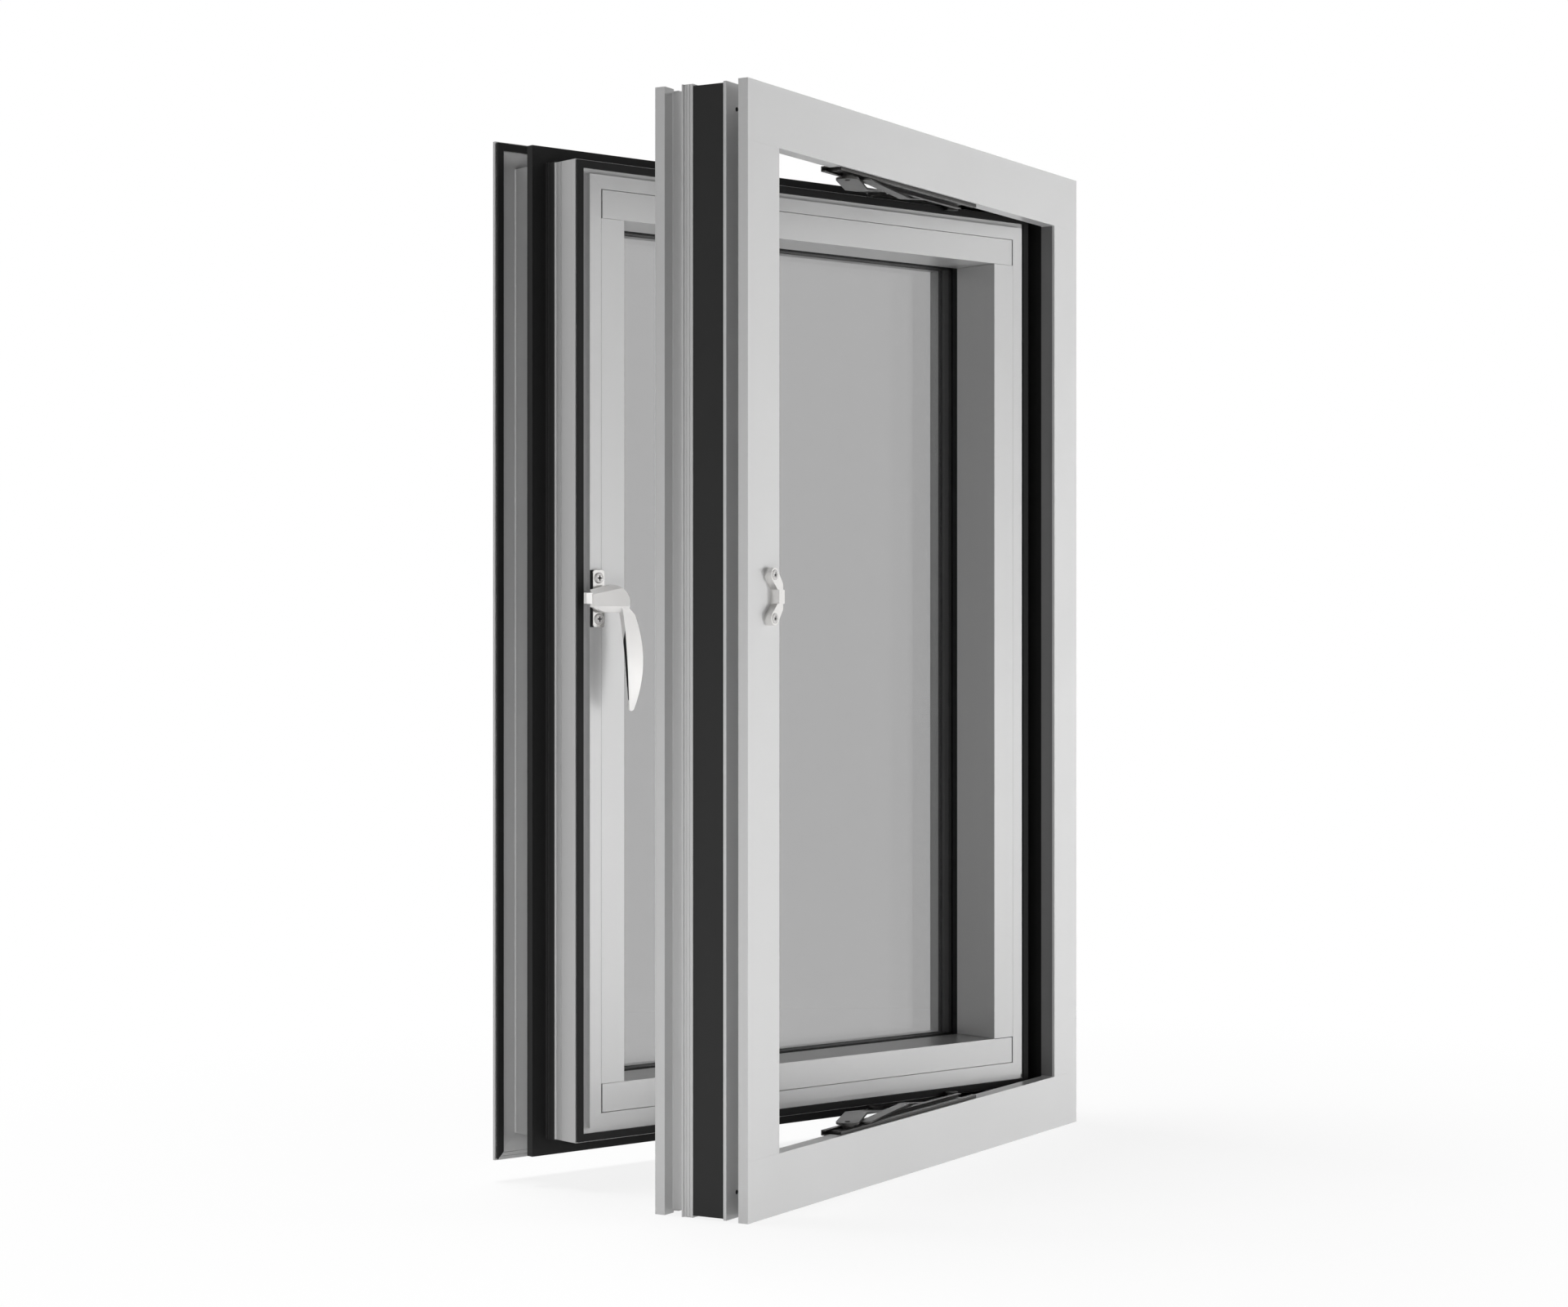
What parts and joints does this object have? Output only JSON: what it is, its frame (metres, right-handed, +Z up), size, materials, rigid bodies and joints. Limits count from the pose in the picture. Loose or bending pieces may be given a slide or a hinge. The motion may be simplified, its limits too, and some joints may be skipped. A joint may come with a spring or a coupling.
{
  "type": "aluminium casement window",
  "caption": "Thermally broken aluminium casement window: fixed frame, double-glazed sash standing open on friction stays, cam handle that turns, and a keeper on the jamb.",
  "frame": {"origin": "underside of the sill, in the middle of its interior leg", "axes": "+X to the right seen from inside, +Y outdoors, +Z up"},
  "size_m": [0.812, 0.3966, 1.2],
  "materials": {
    "frame_aluminium": "satin anodised",
    "sash_aluminium": "satin anodised",
    "thermal_break": "matt black",
    "gasket": "matt black",
    "glass": "clear grey tint",
    "spacer": "dark grey",
    "stay_steel": "brushed, dark",
    "handle_metal": "polished, pale"
  },
  "bodies": {
    "window": {"bottom_stay_long_arm": "stay_steel", "bottom_stay_sash_bar": "stay_steel", "bottom_stay_short_arm": "stay_steel", "bottom_stay_slider": "stay_steel", "bottom_stay_track": "stay_steel", "frame_exterior_head": "frame_aluminium", "frame_exterior_left_jamb": "frame_aluminium", "frame_exterior_right_jamb": "frame_aluminium", "frame_exterior_sill": "frame_aluminium", "frame_interior_head": "frame_aluminium", "frame_interior_left_jamb": "frame_aluminium", "frame_interior_right_jamb": "frame_aluminium", "frame_interior_sill": "frame_aluminium", "frame_thermal_break": "thermal_break", "glazing_bead_bottom": "sash_aluminium", "glazing_bead_left": "sash_aluminium", "glazing_bead_right": "sash_aluminium", "glazing_bead_top": "sash_aluminium", "glazing_gasket_inner": "gasket", "glazing_gasket_outer": "gasket", "handle_base": "handle_metal", "handle_pad": "gasket", "keeper": "handle_metal", "pane_inner": "glass", "pane_outer": "glass", "pane_spacer": "spacer", "sash_centre_gasket": "gasket", "sash_exterior_bottom_rail": "sash_aluminium", "sash_exterior_hinge_stile": "sash_aluminium", "sash_exterior_lock_stile": "sash_aluminium", "sash_exterior_top_rail": "sash_aluminium", "sash_flange_seal": "gasket", "sash_interior_bottom_rail": "sash_aluminium", "sash_interior_hinge_stile": "sash_aluminium", "sash_interior_lock_stile": "sash_aluminium", "sash_interior_top_rail": "sash_aluminium", "sash_thermal_break": "thermal_break", "sash_weather_seal": "gasket", "top_stay_long_arm": "stay_steel", "top_stay_sash_bar": "stay_steel", "top_stay_short_arm": "stay_steel", "top_stay_slider": "stay_steel", "top_stay_track": "stay_steel"},
    "handle": {"cam_handle": "handle_metal"}
  },
  "joints": [
    {"name": "handle_turn", "type": "hinge", "parent": "window", "child": "handle", "pos_m": [-0.31512, 0.24699, 0.6582], "axis": [-0.3272, -0.9449, 0], "range_deg": [0, 90]}
  ]
}
